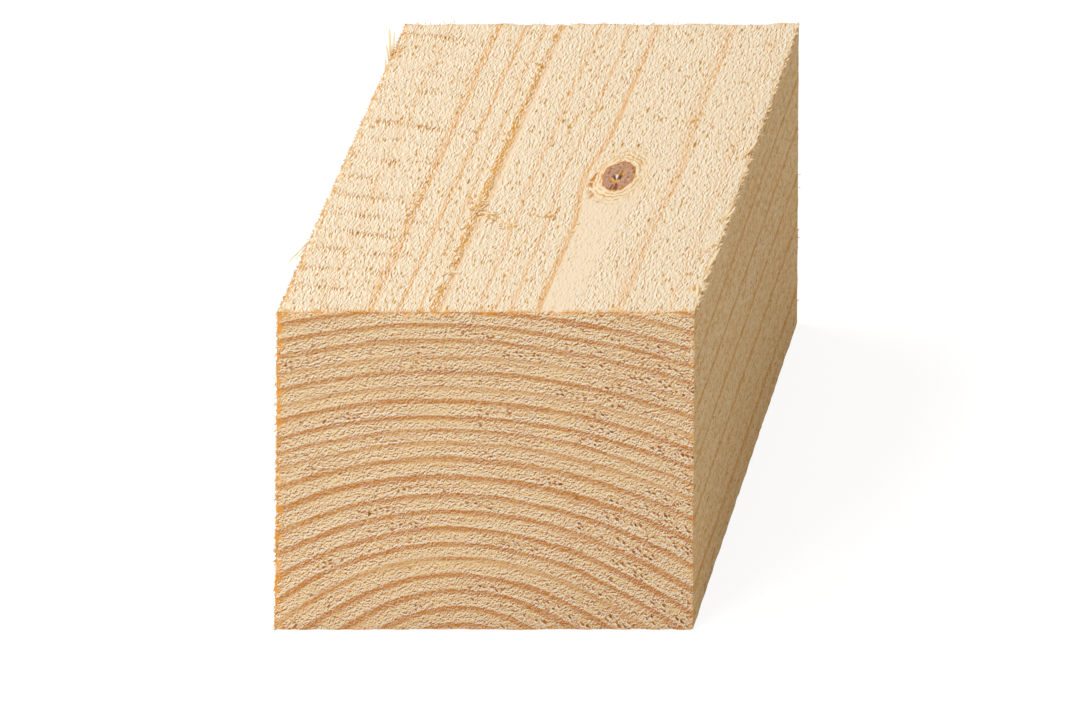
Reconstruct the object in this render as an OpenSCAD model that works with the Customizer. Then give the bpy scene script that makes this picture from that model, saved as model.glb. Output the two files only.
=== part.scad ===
// Rough-sawn softwood stud: one square-cut length of sawn timber, lying on its wide face.
// The origin is the middle of the underside. Width runs along X, length along Y, thickness along Z.

/* [Section] */
// Width across the two wide faces
stud_width = 80; // [30:1:200]
// Thickness between the two wide faces
stud_thickness = 60; // [20:1:150]
// Radius of the four long arrises, as the saw and handling leave them
arris_radius = 0.6; // [0.1:0.1:3]

/* [Length] */
// Length between the two sawn ends
stud_length = 100; // [40:1:6000]

/* [Hidden] */
// Colour of fresh-sawn spruce
timber_colour = [0.90, 0.78, 0.60];
// Facets of each rounded arris
$fn = 48;

// One corner of the section, its centre drawn in from both faces by the arris radius.
module arris(across, up) {
    translate([
        across * (stud_width / 2 - arris_radius),
        up * (stud_thickness / 2 - arris_radius)
    ])
        circle(r = arris_radius);
}

// Sawn section, centred: two crossed rectangles leave the flat faces, and the arrises fill the corners.
module section() {
    square([stud_width - 2 * arris_radius, stud_thickness], center = true);
    square([stud_width, stud_thickness - 2 * arris_radius], center = true);
    for (across = [-1, 1], up = [-1, 1])
        arris(across, up);
}

// The stud itself: the section run along Y between two square cuts, resting on its wide face.
module stud() {
    color(timber_colour)
        translate([0, stud_length / 2, stud_thickness / 2])
            rotate([90, 0, 0])
                linear_extrude(height = stud_length)
                    section();
}

stud();
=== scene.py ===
"""Rough-sawn softwood stud: the sawn skin with its growth rings and knot, the torn fibres that stand on it,
and a plain studio round it."""

import math

import bmesh
import bpy
import numpy as np
from bpy.props import FloatProperty, FloatVectorProperty, IntProperty, PointerProperty
from mathutils import Matrix, Vector


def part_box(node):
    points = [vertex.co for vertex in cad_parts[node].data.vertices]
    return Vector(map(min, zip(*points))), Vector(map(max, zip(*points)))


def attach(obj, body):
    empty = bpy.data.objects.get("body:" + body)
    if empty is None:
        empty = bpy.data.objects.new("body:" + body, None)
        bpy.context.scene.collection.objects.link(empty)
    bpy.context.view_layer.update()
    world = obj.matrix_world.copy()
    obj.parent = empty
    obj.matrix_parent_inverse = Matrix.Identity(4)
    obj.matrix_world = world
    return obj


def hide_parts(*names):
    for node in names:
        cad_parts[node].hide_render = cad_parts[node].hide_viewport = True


bl_info = {
    "name": "Sawn Timber Stud",
    "version": (1, 0, 0),
    "blender": (4, 5, 0),
    "location": "View3D > Sidebar > Stud",
    "description": "Dresses a length of sawn timber with rings, a knot and torn fibres",
    "category": "Object",
}

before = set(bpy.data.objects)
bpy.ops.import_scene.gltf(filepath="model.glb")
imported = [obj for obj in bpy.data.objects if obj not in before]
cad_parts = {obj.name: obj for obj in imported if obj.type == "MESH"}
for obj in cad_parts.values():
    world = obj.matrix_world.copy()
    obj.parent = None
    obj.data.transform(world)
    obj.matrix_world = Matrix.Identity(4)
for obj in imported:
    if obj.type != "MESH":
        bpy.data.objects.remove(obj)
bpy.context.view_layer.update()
MM = 0.001

# The stud's own box in millimetres, the unit of every field below
LOW, HIGH = (np.array(corner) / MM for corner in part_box("stud"))

# Each face's axis, and which end of that axis it is on
FACES = {
    "top": (2, 1),
    "underside": (2, -1),
    "right": (0, 1),
    "left": (0, -1),
    "front": (1, -1),
    "far": (1, 1),
}
ENDS = ("front", "far")
# How far each narrow face has the deeper colour of clean-cut side wood, which on the right face, in shade, is
# also painted warm shade
SIDES = {"right": 1.0, "left": 0.4}

# Growth rings on the sawn end: the pith lies under the stud, and each ring is a flattened arch over it
PITH_X = -4.8
PITH_Z = -6.8
ARCH_BEND = 2.42
ARCH_LEAN = 0.095
FIRST_ARCH = 8.4
# Share of a ring's width past its dark edge that still counts as that ring
EDGE_SHARE = 0.03
# On the narrow faces one ring in so many shows in full, and the others by this share
FULL_RING = 3
FAINT_SHARE = 0.25
# Height of each ring's dark outer edge above the pith, and how dark its late wood is
RINGS = (
    (0.0, 0.8),
    (2.8, 0.8),
    (5.6, 0.8),
    (FIRST_ARCH, 0.9),
    (11.4, 1.0),
    (14.7, 1.0),
    (17.7, 1.0),
    (20.8, 0.55),
    (23.4, 0.95),
    (26.3, 1.0),
    (29.6, 0.9),
    (32.7, 0.9),
    (36.3, 1.0),
    (39.7, 0.85),
    (42.5, 0.6),
    (44.9, 0.8),
    (47.5, 1.0),
    (50.6, 0.95),
    (52.9, 0.5),
    (56.0, 0.9),
    (58.6, 0.5),
    (61.8, 0.8),
    (64.6, 0.85),
    (67.4, 1.0),
    (70.5, 0.7),
    (73.5, 0.8),
    (76.5, 0.8),
    (80.0, 0.8),
)

# Grain lines of the top face: place across the stud, width of the dark band and how strong it is
TOP_LINES = (
    (-44.0, 1.0, 0.3),
    (-31.0, 1.4, 0.3),
    (-21.3, 1.2, 1.0),
    (-15.8, 1.0, 0.9),
    (-12.0, 0.8, 0.6),
    (-8.2, 1.0, 0.6),
    (-0.8, 0.9, 0.6),
    (2.4, 0.7, 0.4),
    (5.5, 0.9, 0.7),
    (10.8, 1.1, 0.95),
    (26.5, 1.3, 0.7),
    (36.0, 1.2, 0.3),
    (46.0, 1.2, 0.3),
)
# Share of a ring's count that its line takes, how far the lines lean along the stud, and the furrow's place
BAND_SHARE = 0.3
GRAIN_SKEW = 0.017
FURROW_X = -8.2
# How far round the knot the grain lines bend, across and along the stud, and by what share
BEND_REACH = (9, 10)
BEND_SHARE = 0.5

# Clean-cut tongue of the top face: its left edge, and its right edge at distances forward of the knot
TONGUE_LEFT = 10.6
TONGUE_RUN = (0, 12, 46)
TONGUE_RIGHT = (23.0, 20.5, 16.5)

# Where the rough left third of the top face runs out: its torn wood, its scuffs and its saw ridges
TORN_LEFT = (-26, -14)
SCUFFED_LEFT = (-25, -14)
RIDGED_LEFT = (-24, -12)

# Saw marks across the top face: their spacing, one mark's place and how far they lean to the right
SAW_PITCH = 6.2
SAW_START = -11.9
SAW_LEAN = 0.2

# How torn each long face is, as a share of the top face
FACE_TEARS = {"top": 1.0, "right": 0.2, "left": 0.2, "underside": 0.45}

# Marks in and round the knot, from its middle: kind, start, end and half width
KNOT_MARKS = (
    ("slot", (0.25, -0.8), (0.55, 0.7), 0.22),
    ("slot", (-0.95, 0.3), (-0.45, -0.7), 0.2),
    ("gold", (0.45, 0.6), (0.75, 1.9), 0.3),
    ("gold", (-0.35, 0.8), (-0.2, 2.0), 0.2),
    ("gold", (-1.5, -0.9), (-0.2, -1.5), 0.36),
    ("gold", (-0.9, -1.9), (-0.1, -1.6), 0.3),
    ("gold", (0.1, -1.4), (0.2, -2.6), 0.16),
    ("chip", (-0.2, -0.5), (-0.3, 0.2), 0.22),
    ("streak", (0.25, -2.4), (0.1, -4.4), 0.28),
    ("streak", (-0.5, -3.0), (-0.7, -4.4), 0.22),
    ("streak", (0.6, -3.4), (0.5, -4.9), 0.16),
    ("streak", (2.6, 1.2), (2.7, 1.9), 0.15),
    ("streak", (1.8, -0.5), (2.0, -0.1), 0.14),
    ("streak", (1.6, -2.2), (1.9, -1.8), 0.16),
    ("streak", (2.2, 2.4), (2.3, 3.0), 0.13),
    ("streak", (-2.2, 0.9), (-2.0, 2.0), 0.1),
    ("tear", (-4.6, 1.0), (-4.9, -1.4), 0.26),
    ("tear", (-4.9, -2.4), (-4.7, -3.6), 0.3),
    ("tear", (-4.4, -5.0), (-3.8, -6.8), 0.26),
    ("tear", (-3.0, -8.0), (-2.2, -8.4), 0.24),
)
KNOT_KINDS = ("slot", "gold", "chip", "streak", "tear")

# Torn fringe of each sawn edge: the face that it stands out past, the face that it lies in,
# fibres to a millimetre, their reach, their lean along the edge and how broad they are
FRINGES = (
    ("left", "front", 5.0, 0.6, -0.8, 1.0),
    ("left", "top", 7.0, 0.5, -0.5, 1.0),
    ("right", "top", 8.0, 0.7, 0.8, 2.0),
    ("right", "front", 4.0, 0.25, -0.5, 1.0),
    ("top", "front", 5.0, 0.25, 0.3, 1.0),
    ("underside", "front", 2.0, 0.15, 0.3, 1.0),
    ("top", "far", 2.0, 0.15, 0.3, 1.0),
    ("left", "far", 4.0, 0.4, -0.5, 1.0),
    ("right", "far", 2.0, 0.15, -0.5, 1.0),
    ("underside", "far", 2.0, 0.15, 0.3, 1.0),
    ("left", "underside", 3.0, 0.3, 0.4, 1.0),
    ("right", "underside", 2.0, 0.2, 0.4, 1.0),
)

# Long splinters of the top face's edges and of the front end's right edge: root, tip and half width
SPLINTERS = (
    ((-39.8, 37.2, 59.9), (-42.4, 46.9, 60.2), 0.3),
    ((-39.8, 38.2, 59.9), (-40.9, 45.4, 60.6), 0.26),
    ((-39.7, 35.8, 59.8), (-41.7, 41.6, 59.9), 0.24),
    ((-39.8, 33.6, 59.8), (-40.9, 36.6, 60.0), 0.2),
    ((-39.7, -26.4, 59.9), (-42.1, -34.2, 59.8), 0.24),
    ((-39.7, -27.2, 59.9), (-41.6, -32.2, 59.9), 0.24),
    ((-39.7, -28.4, 59.8), (-40.9, -33.0, 59.8), 0.18),
    ((38.5, 1.8, 59.9), (41.0, 5.6, 60.9), 0.24),
    ((38.8, 2.4, 59.9), (40.7, 4.9, 60.4), 0.2),
    ((38.8, -20.2, 59.9), (41.3, -17.0, 60.4), 0.24),
    ((38.8, -19.8, 59.9), (40.6, -15.7, 60.7), 0.22),
    ((38.7, -19.6, 59.9), (39.8, -15.9, 60.6), 0.2),
    ((39.3, -38.4, 59.8), (40.0, -29.8, 60.5), 0.34),
    ((39.2, -46.6, 59.8), (39.9, -41.6, 60.3), 0.3),
    ((39.6, -49.6, 53.6), (40.3, -50.3, 51.4), 0.26),
    ((39.5, -49.7, 53.2), (39.7, -50.7, 52.0), 0.24),
)

# Torn tufts of the top face: where each row starts and ends, and how many fibres it has
TUFTS = (
    ((-22.6, -19.0), (-22.2, -8.6), 40),
    ((-10.8, -13.2), (-9.4, -16.4), 44),
    ((-7.6, -17.4), (-5.3, -19.2), 30),
    ((-3.2, -20.9), (-1.1, -22.3), 30),
    ((3.7, -18.9), (4.7, -17.4), 20),
    ((25.9, 14.4), (26.9, 15.8), 14),
    ((-10.2, -46.0), (-9.5, -5.0), 60),
    ((10.0, -47.0), (10.3, -22.0), 12),
    ((37.8, -33.0), (38.5, -26.5), 20),
    ((38.2, -44.0), (38.4, -40.0), 12),
    ((-38.6, 38.0), (-38.8, 43.0), 20),
)


def srgb(red, green, blue):
    """A colour as a screen shows it, from 0 to 255, in the linear numbers that shaders take."""
    shares = (value / 255 for value in (red, green, blue))
    return tuple(s / 12.92 if s <= 0.04045 else ((s + 0.055) / 1.055) ** 2.4 for s in shares)


def colour(name, what, red, green, blue):
    return FloatVectorProperty(
        name=name,
        description=what,
        default=srgb(red, green, blue),
        subtype="COLOR",
        size=3,
        min=0,
        max=1,
    )


def length(name, what, millimetres):
    return FloatProperty(
        name=name,
        description=what,
        default=millimetres * MM,
        min=0,
        subtype="DISTANCE",
        unit="LENGTH",
        precision=5,
    )


def offset(name, what, millimetres):
    return FloatProperty(
        name=name, description=what, default=millimetres * MM, subtype="DISTANCE", unit="LENGTH"
    )


def angle(name, what, degrees):
    return FloatProperty(name=name, description=what, default=math.radians(degrees), subtype="ANGLE")


def power(name, what, watts):
    return FloatProperty(name=name, description=what, default=watts, unit="POWER")


def tally(name, what, default):
    return IntProperty(name=name, description=what, default=default)


class StudTimber(bpy.types.PropertyGroup):
    """Colours of the wood."""

    pale: colour("Pale wood", "Felted parts of the long faces", 239, 217, 181)
    warm: colour("Warm wood", "Clean-cut parts of the top and underside", 244, 222, 189)
    # Partly painted warm shade, strongest on the right face, which is in shade
    side: colour("Side wood", "Clean-cut parts of the narrow faces", 238, 197, 139)
    line: colour("Grain line", "Grain lines of the long faces", 231, 174, 104)
    early: colour("Early wood", "Pale part of a ring on the sawn ends", 246, 210, 150)
    late: colour("Late wood", "Dark part of a ring on the sawn ends", 204, 131, 52)
    # Painted highlight of fibre flanks that face the lamps on the long faces, and the pale rim past each ring
    # on the sawn ends
    fleck: colour("Fleck", "Pale flanks of torn fibres on the long faces", 252, 249, 240)
    # Painted highlight of fibre flanks that face the lamps on the sawn ends, and beside each of their pits
    bright: colour("Bright", "Pale flanks of torn fibres on the sawn ends", 252, 250, 237)
    # Painted shade of fibre flanks that face away from the lamps on the long faces, and of the fibres' roots
    pit: colour("Pit", "Golden flanks of torn fibres on the long faces", 210, 144, 30)
    # Painted shade of fibre flanks that face away from the lamps on the sawn ends, and of their pits
    hollow: colour("Hollow", "Brown flanks of torn fibres on the sawn ends", 182, 102, 16)
    # Golden specks of the felt, partly painted shade in the hollows between fibres
    speck: colour("Speck", "Deep golden hollows of the long faces", 200, 142, 44)
    # Resin canals, and also the deepest painted shade of the fibre flanks and the dark cores of specks and
    # pits
    canal: colour("Resin canal", "Small dark dashes along the grain", 132, 64, 4)
    # Golden edge colour, partly painted glow of light through the lit left edges
    arris: colour("Arris", "Golden bruise along the sawn edges", 244, 160, 44)
    tuft: colour("Tuft", "Golden tufts that are torn up", 222, 160, 60)
    # Pale torn fibres, and the painted highlight of fibre flanks on the narrow faces
    cream: colour("Cream", "Palest torn fibres", 252, 232, 192)


class StudSawing(bpy.types.PropertyGroup):
    """How rough the saw left the faces."""

    grid: length("Grid", "Spacing of the skin's vertices across the stud", 0.58)
    saw_depth: length("Saw mark depth", "Height of the marks across the left of the top face", 0.16)
    tear_depth: length("Tear depth", "Height of the torn grain on the long faces", 0.06)
    end_depth: length("End tear depth", "How far early wood is torn below late wood on the ends", 0.06)
    arris_wear: length("Arris wear", "How far the sawn edges are broken", 0.35)
    top_fibres: tally("Top fibres", "Torn fibres tried on the top face", 2000)
    side_fibres: tally("Side fibres", "Torn fibres tried on each other long face", 1500)
    end_fibres: tally("End fibres", "Torn fibres tried on each sawn end", 2500)


class StudKnot(bpy.types.PropertyGroup):
    """The small knot in the top face."""

    across: offset("Across", "Place across the stud", 15.5)
    along: offset("Along", "Place along the stud", -4.8)
    half_width: length("Half width", "Half the dark core's width across the grain", 3.08)
    half_length: length("Half length", "Half the dark core's length along the grain", 4.75)
    core: colour("Core", "Heart of the knot", 206, 165, 139)
    heart: colour("Heart", "Browner parts of the knot's core", 187, 138, 107)
    rim: colour("Rim", "Bark line round the core", 196, 124, 54)
    halo: colour("Halo", "Swirled wood round the knot", 250, 226, 186)
    gold: colour("Gold", "Clean wood in the star crack and the swirl", 220, 164, 84)
    streak: colour("Streak", "Dark resin streaks in the core", 130, 74, 50)
    slot: colour("Slot", "Depth of the star crack", 62, 42, 24)
    # The crack's near-black colour is painted shade in its depth
    chip: colour("Chip", "Pale chip in the star crack", 246, 238, 228)


class StudStage(bpy.types.PropertyGroup):
    """Camera and light."""

    azimuth: angle("Azimuth", "Camera's turn to the right", 12.8)
    elevation: angle("Elevation", "Camera's angle above the floor", 29.6)
    distance: FloatProperty(
        name="Distance", description="Camera to sawn end, along the stud", default=1.645, unit="LENGTH"
    )
    key: power("Key light", "Power of the main lamp", 5.55)
    fill: power("Fill light", "Power of the front lamp", 5.5)
    ambient: FloatProperty(name="Ambient", description="Strength of the even light", default=0.42)


# Fields of the timber, over arrays of points in millimetres

# How near a point lies to a face that it is on
ON_PLANE = 0.01
# How far in from an edge the wear of the arrises reaches, and where it fades out: at the foot and the right
WEAR_REACH = 1.3
SPARED_FOOT = (1.5, 4.5)
SPARED_RIGHT = (34, 37)
# Turn of the saw scratches on the ends, about the stud's length
SCRATCH_TURN = np.array(((0.86, 0, 0.5), (0, 1, 0), (-0.5, 0, 0.86)))
# How far the skin of the underside is drawn in, clear of the floor
FLOOR_CLEARANCE = 0.1
# Large odd numbers that mix a cell's three numbers and its seed, and the shifts between them
AXIS_STEPS = np.array((374761393, 668265263, 1442695041), dtype=np.uint64)
SEED_STEP = 7919
SEED_START = 17
MIXING = ((15, 2246822519), (13, 3266489917))
LAST_SHIFT = 16
WORD = 0xFFFFFFFF


def lattice(cells, seed):
    """One random number from 0 to 1 for each whole-number cell, the same on every run."""
    mixed = (cells.astype(np.int64).astype(np.uint64) * AXIS_STEPS).sum(axis=-1)
    mixed += np.uint64(seed * SEED_STEP + SEED_START)
    for shift, factor in MIXING:
        mixed ^= mixed >> np.uint64(shift)
        mixed *= np.uint64(factor)
        mixed &= np.uint64(WORD)
    mixed ^= mixed >> np.uint64(LAST_SHIFT)
    return mixed.astype(float) / WORD


def noise(points, lump, seed):
    """Smooth noise from -1 to 1 at each point, with lumps of the given size along each axis."""
    scaled = points / np.array(lump)
    base = np.floor(scaled)
    part = scaled - base
    ease = part * part * (3 - 2 * part)
    total = np.zeros(len(points))
    for corner in np.ndindex(2, 2, 2):
        weight = np.prod(np.where(corner, ease, 1 - ease), axis=1)
        total += weight * lattice(base + corner, seed)
    return 2 * total - 1


def step_up(value, low, high):
    """0 below low, 1 above high and a smooth rise between them."""
    share = np.clip((value - low) / (high - low), 0, 1)
    return share * share * (3 - 2 * share)


def level(name):
    """Where a face lies on its own axis."""
    axis, side = FACES[name]
    return HIGH[axis] if side > 0 else LOW[axis]


def on_face(points, name):
    axis, _ = FACES[name]
    return np.abs(points[:, axis] - level(name)) < ON_PLANE


def outward(name):
    axis, side = FACES[name]
    normal = np.zeros(3)
    normal[axis] = side
    return normal


def edge_gap(points, name):
    """Distance from each point of a face to that face's nearest edge."""
    axis, _ = FACES[name]
    gaps = np.minimum(points - LOW, HIGH - points)
    return np.delete(gaps, axis, axis=1).min(axis=1)


def knot_spread(points, knot):
    """Distance from the knot, as a multiple of its own half width and half length."""
    across = points[:, 0] - knot.across / MM
    along = points[:, 1] - knot.along / MM
    return np.hypot(across / (knot.half_width / MM), along / (knot.half_length / MM))


def ring_number(count):
    """Which ring each count belongs to."""
    return np.ceil(count - EDGE_SHARE).astype(int)


def end_rings(points):
    """Growth rings counted from the pith, and each one's strength. A whole number is a dark outer edge."""
    up = points[:, 2] - PITH_Z
    across = points[:, 0] - PITH_X + ARCH_LEAN * (up - FIRST_ARCH)
    arch = (up + np.sqrt(up**2 + 2 * across**2 / ARCH_BEND)) / 2
    arch = arch + 0.22 * noise(points, (9, 60, 5), 3) + 0.08 * noise(points, (3, 40, 2), 4)
    edges, strengths = zip(*RINGS)
    count = np.interp(arch, edges, np.arange(len(RINGS)))
    return count, np.array(strengths)[ring_number(count)]


def top_rings(points, knot):
    """The top face's grain lines as a ring count, bent round the knot, and each line's strength."""
    across = points[:, 0] - knot.across / MM
    along = points[:, 1] - knot.along / MM
    near = np.exp(-((across / BEND_REACH[0]) ** 2) - (along / BEND_REACH[1]) ** 2)
    wander = 0.12 * noise(points, (200, 30, 200), 5) + 0.12 * noise(points, (6, 9, 200), 6)
    place = knot.across / MM + across * (1 - BEND_SHARE * near) + wander - GRAIN_SKEW * points[:, 1]
    places = []
    counts = []
    for number, (line, width, _) in enumerate(TOP_LINES, start=1):
        places += [line - width / 2, line + width / 2]
        counts += [number - BAND_SHARE, number]
    strengths = np.repeat([strength for _, _, strength in TOP_LINES], 2)
    return np.interp(place, places, counts), np.interp(place, places, strengths)


def rings_on(points, name, knot):
    """Growth rings on a face as a count, and the strength of each."""
    if name == "top":
        return top_rings(points, knot)
    count, strength = end_rings(points)
    if name in SIDES:
        full = ring_number(count) % FULL_RING == 1
        strength = strength * np.where(full, 1.0, FAINT_SHARE)
    return count, strength


def band(count, share):
    """How dark a ring is at each count: a slow rise to its outer edge, then a sharp fall."""
    part = count - np.floor(count)
    return step_up(part, 1 - share, 1)


def smooth_tongue(points, knot):
    """Mask of the clean-cut tongue of wood that runs from the knot to the front end."""
    along = points[:, 1] - knot.along / MM
    reach = step_up(-along, -2, 5)
    left = TONGUE_LEFT - 0.6 * noise(points, (200, 8, 200), 8)
    right = np.interp(-along, TONGUE_RUN, TONGUE_RIGHT) + 0.5 * noise(points, (200, 6, 200), 9)
    x = points[:, 0]
    return reach * step_up(x, left - 0.5, left + 0.8) * (1 - step_up(x, right - 1.6, right + 1.0))


def torn_share(points, name, knot):
    """How torn a face is at each point, from 0 for clean cut to 1 for felted."""
    count, strength = rings_on(points, name, knot)
    if name in ENDS:
        patches = 0.75 + 0.35 * noise(points, (7, 7, 4), 11)
        lower_right = 0.3 * step_up(points[:, 0] - 0.5 * points[:, 2], -20, 40)
        part = count - np.floor(count)
        return np.clip((patches + lower_right) * (1 - 0.7 * step_up(part, 0.5, 0.75)), 0, 1)
    patches = 0.72 + 0.3 * noise(points, (6, 22, 6), 12)
    torn = patches * (1 - 0.7 * strength * band(count, BAND_SHARE * 1.2))
    if name == "top":
        left_third = 0.35 * (1 - step_up(points[:, 0], *TORN_LEFT))
        torn = (torn + left_third) * (1 - 0.85 * smooth_tongue(points, knot))
        torn = torn * step_up(knot_spread(points, knot), 0.95, 1.35)
        torn = torn * (1 - 0.8 * np.exp(-(((furrow_line(points) - 0.7) / 0.8) ** 2)))
    return np.clip(torn * FACE_TEARS[name], 0, 1)


def saw_marks(points):
    """Ridges that the saw left across the grain, a little askew, from 0 to 1."""
    travel = points[:, 1] + SAW_LEAN * points[:, 0] - SAW_START + 1.1 * noise(points, (11, 9, 11), 13)
    wave = 0.5 + 0.5 * np.cos(2 * np.pi * travel / SAW_PITCH)
    return wave**4


def saw_scuff(points, name):
    """Where the saw marks are torn into the left of the top face, from 0 to 1."""
    if name != "top":
        return np.zeros(len(points))
    patches = 0.2 + noise(points, (5, 3, 5), 24)
    return saw_marks(points) ** 2 * np.clip(patches, 0, 1) * (1 - step_up(points[:, 0], *SCUFFED_LEFT))


def relief(points, name, sawing, knot):
    """How far each point of a face stands out from the plane of the cut."""
    torn = torn_share(points, name, knot)
    wear = np.clip(1 - edge_gap(points, name) / WEAR_REACH, 0, 1) ** 2
    wear = wear * (0.7 + 0.6 * noise(points, (2.2, 2.2, 2.2), 14)) * sawing.arris_wear / MM
    full = step_up(points[:, 2], *SPARED_FOOT) * (1 - step_up(points[:, 0], *SPARED_RIGHT))
    wear = wear * (0.3 + 0.7 * full)
    if name in ENDS:
        count, strength = end_rings(points)
        tear = sawing.end_depth / MM
        ragged = noise(points, (1.3, 9, 1.3), 15) + 0.6 * noise(points, (0.8, 9, 0.8), 16)
        scratch = noise(points @ SCRATCH_TURN, (1.4, 30, 7.0), 17)
        height = tear * (strength * band(count, 0.5) + torn * ragged - 0.5) + 0.04 * scratch
    else:
        tear = sawing.tear_depth / MM
        ragged = noise(points, (1.3, 4.6, 1.3), 18) + 0.6 * noise(points, (0.8, 2.0, 0.8), 19)
        height = tear * torn * ragged
        if name == "top":
            height = height + top_features(points, sawing, knot)
        else:
            height = height + 0.05 * saw_marks(points)
        height = height - FLOOR_CLEARANCE * (name == "underside")
    return height - wear


def top_features(points, sawing, knot):
    """Saw marks, the torn furrow and the knot's swelling on the top face."""
    rough = 1 - step_up(points[:, 0], *RIDGED_LEFT)
    height = (0.2 + rough) * sawing.saw_depth / MM * (saw_marks(points) - 0.4)
    line = furrow_line(points)
    ragged = 0.75 + 0.5 * noise(points, (2, 3.5, 2), 21)
    height = height + 0.16 * ragged * np.exp(-(((line + 1.2) / 0.6) ** 2))
    height = height - 0.06 * ragged * np.exp(-((line / 0.9) ** 2))
    spread = knot_spread(points, knot)
    swelling = 0.14 * np.exp(-(((spread - 1.15) / 0.3) ** 2)) + 0.1 * (1 - step_up(spread, 0.85, 1))
    marks = knot_marks(points, knot)
    sunk = 0.7 * marks["slot"] + 0.25 * marks["gold"] + 0.12 * marks["streak"] - 0.15 * marks["chip"]
    return height + swelling - sunk


def furrow_line(points):
    """Distance across the stud from the torn furrow of the top face."""
    return points[:, 0] - FURROW_X - GRAIN_SKEW * points[:, 1] - 0.25 * noise(points, (200, 18, 200), 5)


def furrow_gilt(points):
    """Golden torn edge on the left of the furrow, in ragged patches, from 0 to 1."""
    patches = step_up(noise(points, (2, 1.6, 2), 26), -1.0, -0.4)
    nearer = 1 - 0.4 * step_up(points[:, 1], 0, 40)
    return patches * nearer * np.exp(-(((furrow_line(points) + 0.9) / 0.9) ** 2))


def knot_marks(points, knot):
    """How much of each kind of mark lies at each point of the knot, from 0 to 1."""
    middle = np.array((knot.across, knot.along)) / MM
    local = points[:, :2] - middle
    marks = {kind: np.zeros(len(points)) for kind in KNOT_KINDS}
    for kind, start, end, half_width in KNOT_MARKS:
        run = np.subtract(end, start)
        share = np.clip((local - start) @ run / (run @ run), 0, 1)
        gap = np.linalg.norm(local - start - np.outer(share, run), axis=1)
        mask = 1 - step_up(gap, 0.6 * half_width, 1.3 * half_width)
        marks[kind] = np.maximum(marks[kind], mask)
    return marks


def unfold(points, name):
    """Place of each point on a flat sheet that holds the six faces side by side, for the texture map."""
    width, long, high = HIGH - LOW
    gap = 2.0
    axis, _ = FACES[name]
    local = np.delete(points - LOW, axis, axis=1)
    if axis == 0:
        local = local[:, ::-1]
    columns = {"top": 0, "front": 0, "underside": 1, "far": 1, "right": 2, "left": 2}
    upper = name in ENDS or name == "left"
    corner = np.array((gap + columns[name] * (width + gap), gap + upper * (long + gap)))
    sheet = max(2 * width + high + 4 * gap, 2 * long + 3 * gap)
    return (local + corner) / sheet


# Shader helpers


def put(tree, kind, inputs, **settings):
    """Adds a shader node. Each input is a plain value or another node's output."""
    node = tree.nodes.new("ShaderNode" + kind)
    for name, value in settings.items():
        setattr(node, name, value)
    for name, value in inputs.items():
        if isinstance(value, bpy.types.NodeSocket):
            tree.links.new(value, node.inputs[name])
        else:
            node.inputs[name].default_value = value
    return node


def maths(tree, operation, first, second=0.0, clamp=False):
    return put(tree, "Math", {0: first, 1: second}, operation=operation, use_clamp=clamp).outputs[0]


def times(tree, product, *factors):
    for factor in factors:
        product = maths(tree, "MULTIPLY", product, factor)
    return product


def vector_maths(tree, operation, first, second=(0, 0, 0)):
    return put(tree, "VectorMath", {0: first, 1: second}, operation=operation).outputs[0]


def remap(tree, value, low, high, to_low=0.0, to_high=1.0):
    """A smooth step of a value from one range to another."""
    inputs = {"Value": value, "From Min": low, "From Max": high, "To Min": to_low, "To Max": to_high}
    return put(tree, "MapRange", inputs, interpolation_type="SMOOTHSTEP").outputs["Result"]


def mix(tree, share, first, second):
    """One colour blended into another. A plain colour has three numbers."""
    inputs = {0: share}
    for slot, value in ((6, first), (7, second)):
        inputs[slot] = value if isinstance(value, bpy.types.NodeSocket) else (*value, 1)
    return put(tree, "Mix", inputs, data_type="RGBA", clamp_factor=True).outputs[2]


def layered(tree, below, *layers):
    """A colour with others over it, from the lowest up. Each layer is a share and a colour."""
    for share, tint in layers:
        below = mix(tree, share, below, tint)
    return below


def stretched(tree, lump_mm, turn=0.0):
    """Object coordinates counted in lumps of the given size, turned about the stud's length."""
    place = put(tree, "TexCoord", {}).outputs["Object"]
    turned = put(tree, "Mapping", {"Vector": place, "Rotation": (0, turn, 0)}).outputs[0]
    scale = tuple(1 / (size * MM) for size in lump_mm)
    return put(tree, "Mapping", {"Vector": turned, "Scale": scale}).outputs[0]


def grain_noise(tree, place, detail=2.0, roughness=0.55, curl=0.0):
    inputs = {"Vector": place, "Scale": 1.0, "Detail": detail, "Roughness": roughness, "Distortion": curl}
    return put(tree, "TexNoise", inputs).outputs["Fac"]


def swing(tree, lump_mm, detail, reach):
    """Noise in lumps of the given size, about 0 instead of a half, times its reach."""
    lumps = grain_noise(tree, stretched(tree, lump_mm), detail)
    return times(tree, maths(tree, "SUBTRACT", lumps, 0.5), reach)


def ring_place(tree, rings, lump_mm, layers):
    """A flat place on a sawn end that follows its rings: lumps across the stud, and layers to each ring."""
    across = put(tree, "SeparateXYZ", {0: stretched(tree, (lump_mm, lump_mm, lump_mm))}).outputs["X"]
    return put(tree, "CombineXYZ", {"X": across, "Y": times(tree, rings, layers)}).outputs[0]


def reading(tree, name):
    return put(tree, "Attribute", {}, attribute_name=name).outputs["Fac"]


# Node groups

# Kinds of the sockets that hold more than one number
SOCKET_KINDS = {"Colour": "Color", "Place": "Vector"}

# Fields of the mesh that the wood of the long faces and of the sawn ends is worked out from
FACE_LABELS = ("Rings", "Strength", "Torn", "Side")
END_LABELS = ("Rings", "Strength")

# Dark share of a growth ring's width
LATE_SHARE = 0.2
# Distances from an edge at which the edge stain and its painted glow start to change there, and have changed
ARRIS_ZONE = (5, 2)


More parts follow.
